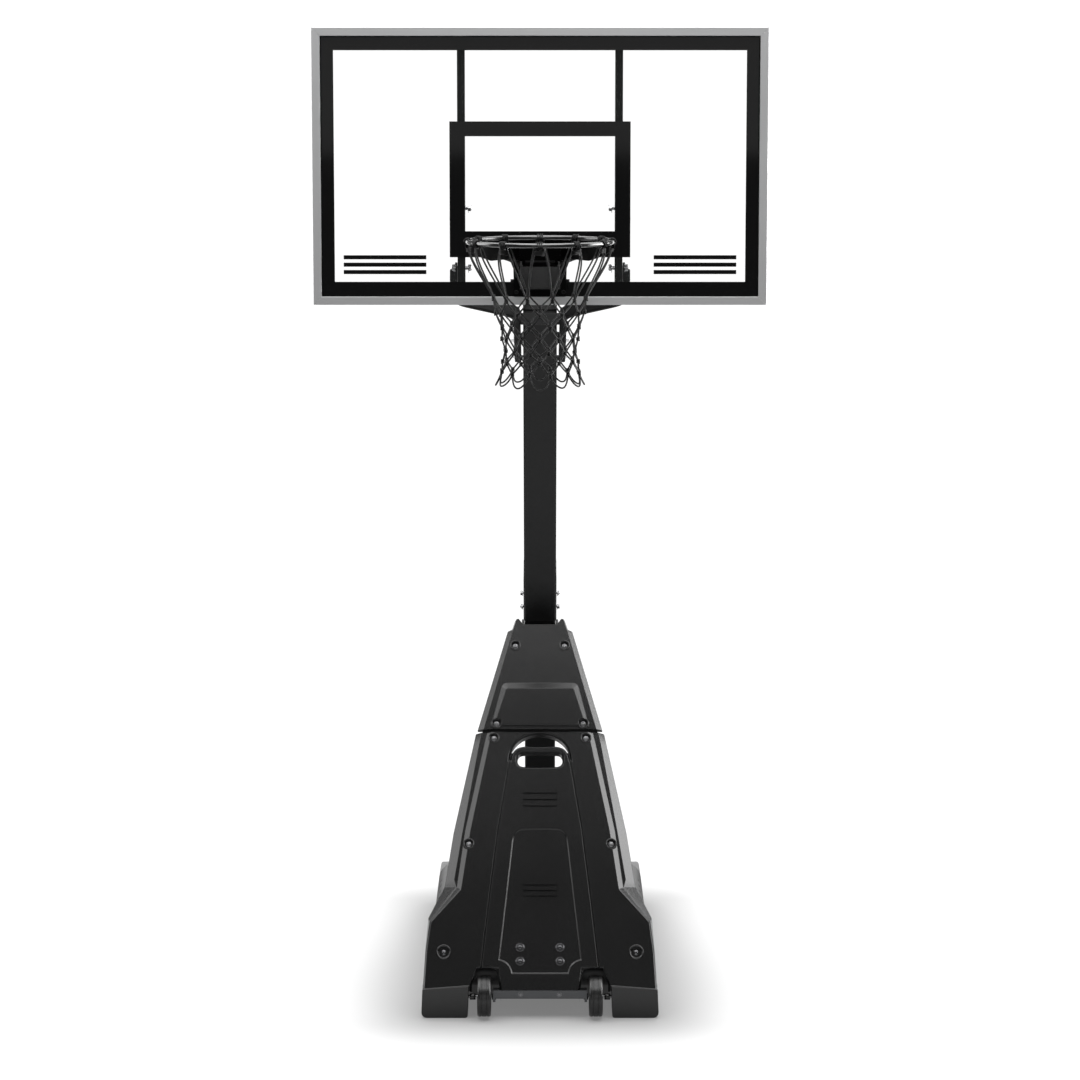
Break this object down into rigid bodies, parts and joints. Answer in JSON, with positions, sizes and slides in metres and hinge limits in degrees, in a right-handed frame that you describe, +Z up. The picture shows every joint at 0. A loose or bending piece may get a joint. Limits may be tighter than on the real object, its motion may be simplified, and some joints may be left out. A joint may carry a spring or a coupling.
{
  "type": "portable basketball hoop",
  "caption": "Free-standing hoop: glass board and breakaway rim with net, raised and lowered on parallel arms from a leaning square pole on a wheeled ballast base.",
  "frame": {"origin": "middle of the overall box, on the floor", "axes": "+X to the player's right as they face the board, +Y from the player towards the back of the base, +Z up"},
  "size_m": [1.5364, 3.4706, 3.735],
  "materials": {
    "base_plastic": "moulded polyethylene, satin with a fine grain",
    "black_coat": "satin black powder coat",
    "frame_aluminium": "satin anodised extrusion",
    "clear_glass": "clear tempered glass with a printed border and target",
    "net_cord": "braided black cord",
    "wheel_rubber": "black moulded wheel",
    "bright_steel": "bright zinc plated bolts",
    "zinc_steel": "grey zinc plated steel",
    "grip_plastic": "black moulded grip"
  },
  "bodies": {
    "root": {"ballast_tank": "base_plastic", "filler_cap": "base_plastic", "lower_cover": "base_plastic", "upper_cover": "base_plastic", "cover_bolt_1": "bright_steel", "cover_bolt_2": "bright_steel", "cover_bolt_3": "bright_steel", "cover_bolt_4": "bright_steel", "cover_bolt_5": "bright_steel", "cover_bolt_6": "bright_steel", "cover_bolt_7": "bright_steel", "cover_bolt_8": "bright_steel", "cover_bolt_9": "bright_steel", "cover_bolt_10": "bright_steel", "front_strut_left": "black_coat", "front_strut_right": "black_coat", "apex_bracket": "black_coat", "axle_beam": "zinc_steel", "wheel_pin_left": "bright_steel", "wheel_pin_right": "bright_steel", "pole_lower": "black_coat", "pole_upper": "black_coat", "pole_bolt_lower": "bright_steel", "pole_bolt_upper": "bright_steel", "pole_cap": "base_plastic", "head_bracket": "black_coat", "pivot_bolt_lower": "bright_steel", "pivot_bolt_upper": "bright_steel", "jack_bracket": "black_coat", "jack_pivot_bolt": "bright_steel"},
    "wheel_left": {"wheel_left": "wheel_rubber"},
    "wheel_right": {"wheel_right": "wheel_rubber"},
    "lower_arms": {"lower_arm_left": "black_coat", "lower_arm_right": "black_coat", "arm_cross_plate": "black_coat", "tail_pin": "bright_steel"},
    "upper_arms": {"upper_arm_left": "black_coat", "upper_arm_right": "black_coat"},
    "board": {"frame_top": "frame_aluminium", "frame_bottom": "frame_aluminium", "frame_left": "frame_aluminium", "frame_right": "frame_aluminium", "glass_panel": "clear_glass", "stile_left": "black_coat", "stile_right": "black_coat", "cross_tube": "black_coat", "board_pivot_lower_left": "bright_steel", "board_pivot_lower_right": "bright_steel", "board_pivot_upper_left": "bright_steel", "board_pivot_upper_right": "bright_steel", "rim_back_plate": "black_coat", "spring_box": "black_coat", "rim_hinge_pin": "bright_steel"},
    "rim": {"rim_ring": "black_coat", "rim_brace": "black_coat", "net": "net_cord"},
    "jack_tube": {"jack_tube": "black_coat"},
    "jack_rod": {"jack_rod": "zinc_steel"},
    "crank": {"crank": "zinc_steel", "crank_grip": "grip_plastic"}
  },
  "joints": [
    {"name": "lift", "type": "hinge", "parent": "root", "child": "lower_arms", "pos_m": [0, 0.175, 2.58], "axis": [1, 0, 0], "range_deg": [0, 34.8]},
    {"name": "upper_arm_pivot", "type": "hinge", "parent": "root", "child": "upper_arms", "pos_m": [0, 0.175, 2.783], "axis": [1, 0, 0], "range_deg": [0, 34.9]},
    {"name": "board_level", "type": "hinge", "parent": "lower_arms", "child": "board", "pos_m": [0, -1.0501, 2.92667], "axis": [1, 0, 0], "range_deg": [-34.9, 0]},
    {"name": "rim_breakaway", "type": "hinge", "parent": "board", "child": "rim", "pos_m": [0, -1.165, 2.951], "axis": [1, 0, 0], "range_deg": [0, 25], "stiffness_Nm_per_rad": 60, "springref_deg": -34.38},
    {"name": "jack_swing", "type": "hinge", "parent": "root", "child": "jack_tube", "pos_m": [0, 0.778, 1.7], "axis": [1, 0, 0], "range_deg": [-4.2, 0]},
    {"name": "jack_extend", "type": "slide", "parent": "jack_tube", "child": "jack_rod", "axis": [0, -0.3213, 0.947], "range_m": [0, 0.1988]},
    {"name": "crank_turn", "type": "hinge", "parent": "jack_tube", "child": "crank", "pos_m": [0, 0.80756, 1.61288], "axis": [0, 0.947, 0.3213], "continuous": true},
    {"name": "wheel_left_roll", "type": "hinge", "parent": "root", "child": "wheel_left", "pos_m": [-0.213, -0.039, 0.079], "axis": [1, 0, 0], "continuous": true},
    {"name": "wheel_right_roll", "type": "hinge", "parent": "root", "child": "wheel_right", "pos_m": [0.213, -0.039, 0.079], "axis": [1, 0, 0], "continuous": true}
  ],
  "couplings": [
    {"joint": "upper_arm_pivot", "follows": "lift", "ratio": 1},
    {"joint": "board_level", "follows": "lift", "ratio": -1},
    {"joint": "jack_swing", "follows": "lift", "ratio": -0.119},
    {"joint": "jack_extend", "follows": "lift", "m_per_rad": 0.327}
  ]
}
